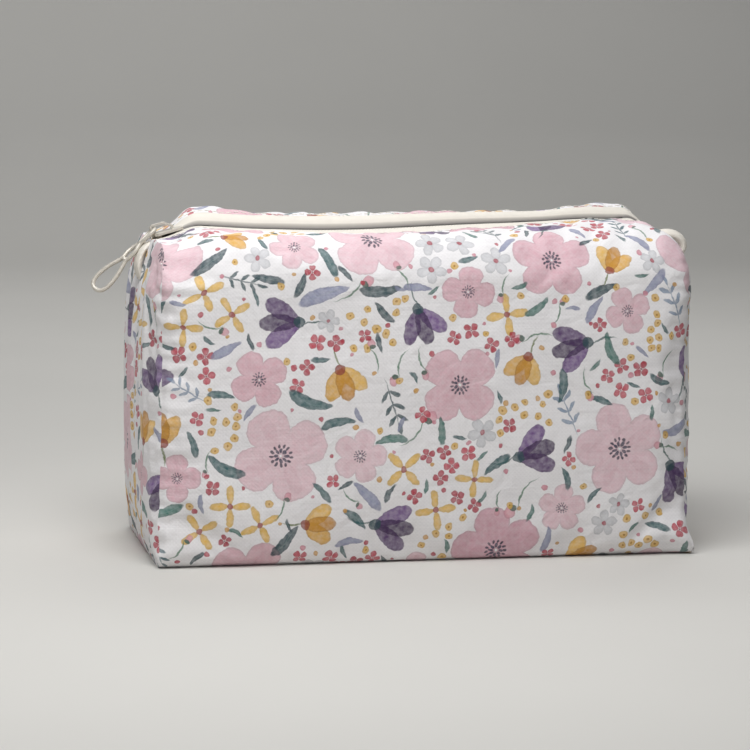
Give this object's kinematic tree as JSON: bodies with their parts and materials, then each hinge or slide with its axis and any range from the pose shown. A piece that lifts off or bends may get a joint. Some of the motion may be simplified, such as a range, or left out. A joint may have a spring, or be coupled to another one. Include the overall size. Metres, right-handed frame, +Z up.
{
  "type": "makeup bag",
  "caption": "Boxy padded cotton makeup bag with a floral print, fabric lining and a zip along its top, shown closed and standing on its base.",
  "frame": {"origin": "middle of the base, on the surface that the bag stands on", "axes": "+X along the zip towards the right end, front panel faces -Y, +Z up"},
  "size_m": [0.2625, 0.105, 0.1417],
  "materials": {
    "printed_cotton": "plain woven cotton with a watercolour floral print",
    "wadding": "needled polyester wadding",
    "lining_cotton": "plain ivory cotton",
    "zip_tape": "herringbone woven cream tape",
    "zip_coil": "cream nylon coil",
    "zip_metal": "ivory enamel on die-cast zinc"
  },
  "bodies": {
    "bag_body": {"outer_front_panel": "printed_cotton", "outer_back_panel": "printed_cotton", "outer_base_panel": "printed_cotton", "outer_left_end": "printed_cotton", "outer_right_end": "printed_cotton", "wadding_front": "wadding", "wadding_back": "wadding", "wadding_base": "wadding", "wadding_left": "wadding", "wadding_right": "wadding", "lining_front": "lining_cotton", "lining_back": "lining_cotton", "lining_base": "lining_cotton", "lining_left": "lining_cotton", "lining_right": "lining_cotton", "outer_front_shoulder": "printed_cotton", "lining_front_shoulder": "lining_cotton", "outer_back_shoulder": "printed_cotton", "lining_back_shoulder": "lining_cotton", "zip_tab_left": "zip_tape", "zip_tab_right": "zip_tape"},
    "front_flap": {"outer_top_front": "printed_cotton", "lining_top_front": "lining_cotton", "zip_tape_front": "zip_tape", "zip_coil_front": "zip_coil"},
    "back_flap": {"outer_top_back": "printed_cotton", "lining_top_back": "lining_cotton", "zip_tape_back": "zip_tape", "zip_coil_back": "zip_coil"},
    "slider": {"slider_body": "zip_metal"},
    "pull": {"pull_loop": "zip_metal"}
  },
  "joints": [
    {"name": "zip_slide", "type": "slide", "parent": "bag_body", "child": "slider", "axis": [0.9998, 0, 0.0184], "range_m": [0, 0.192]},
    {"name": "front_flap_hinge", "type": "hinge", "parent": "bag_body", "child": "front_flap", "pos_m": [0, -0.034, 0.1225], "axis": [1, 0, 0], "range_deg": [0, 55], "deforming": ["outer_front_shoulder", "lining_front_shoulder", "zip_tape_front", "zip_coil_front"]},
    {"name": "back_flap_hinge", "type": "hinge", "parent": "bag_body", "child": "back_flap", "pos_m": [0, 0.034, 0.1225], "axis": [-1, 0, 0], "range_deg": [0, 55], "deforming": ["outer_back_shoulder", "lining_back_shoulder", "zip_tape_back", "zip_coil_back"]},
    {"name": "pull_swing", "type": "hinge", "parent": "slider", "child": "pull", "pos_m": [-0.11067, 0, 0.1385], "axis": [0, 1, 0], "range_deg": [0, 186]}
  ],
  "couplings": [
    {"joint": "pull_swing", "follows": "zip_slide", "rad_per_m": 16.891},
    {"joint": "front_flap_hinge", "follows": "zip_slide", "rad_per_m": 4.9896},
    {"joint": "back_flap_hinge", "follows": "zip_slide", "rad_per_m": 4.9896}
  ]
}
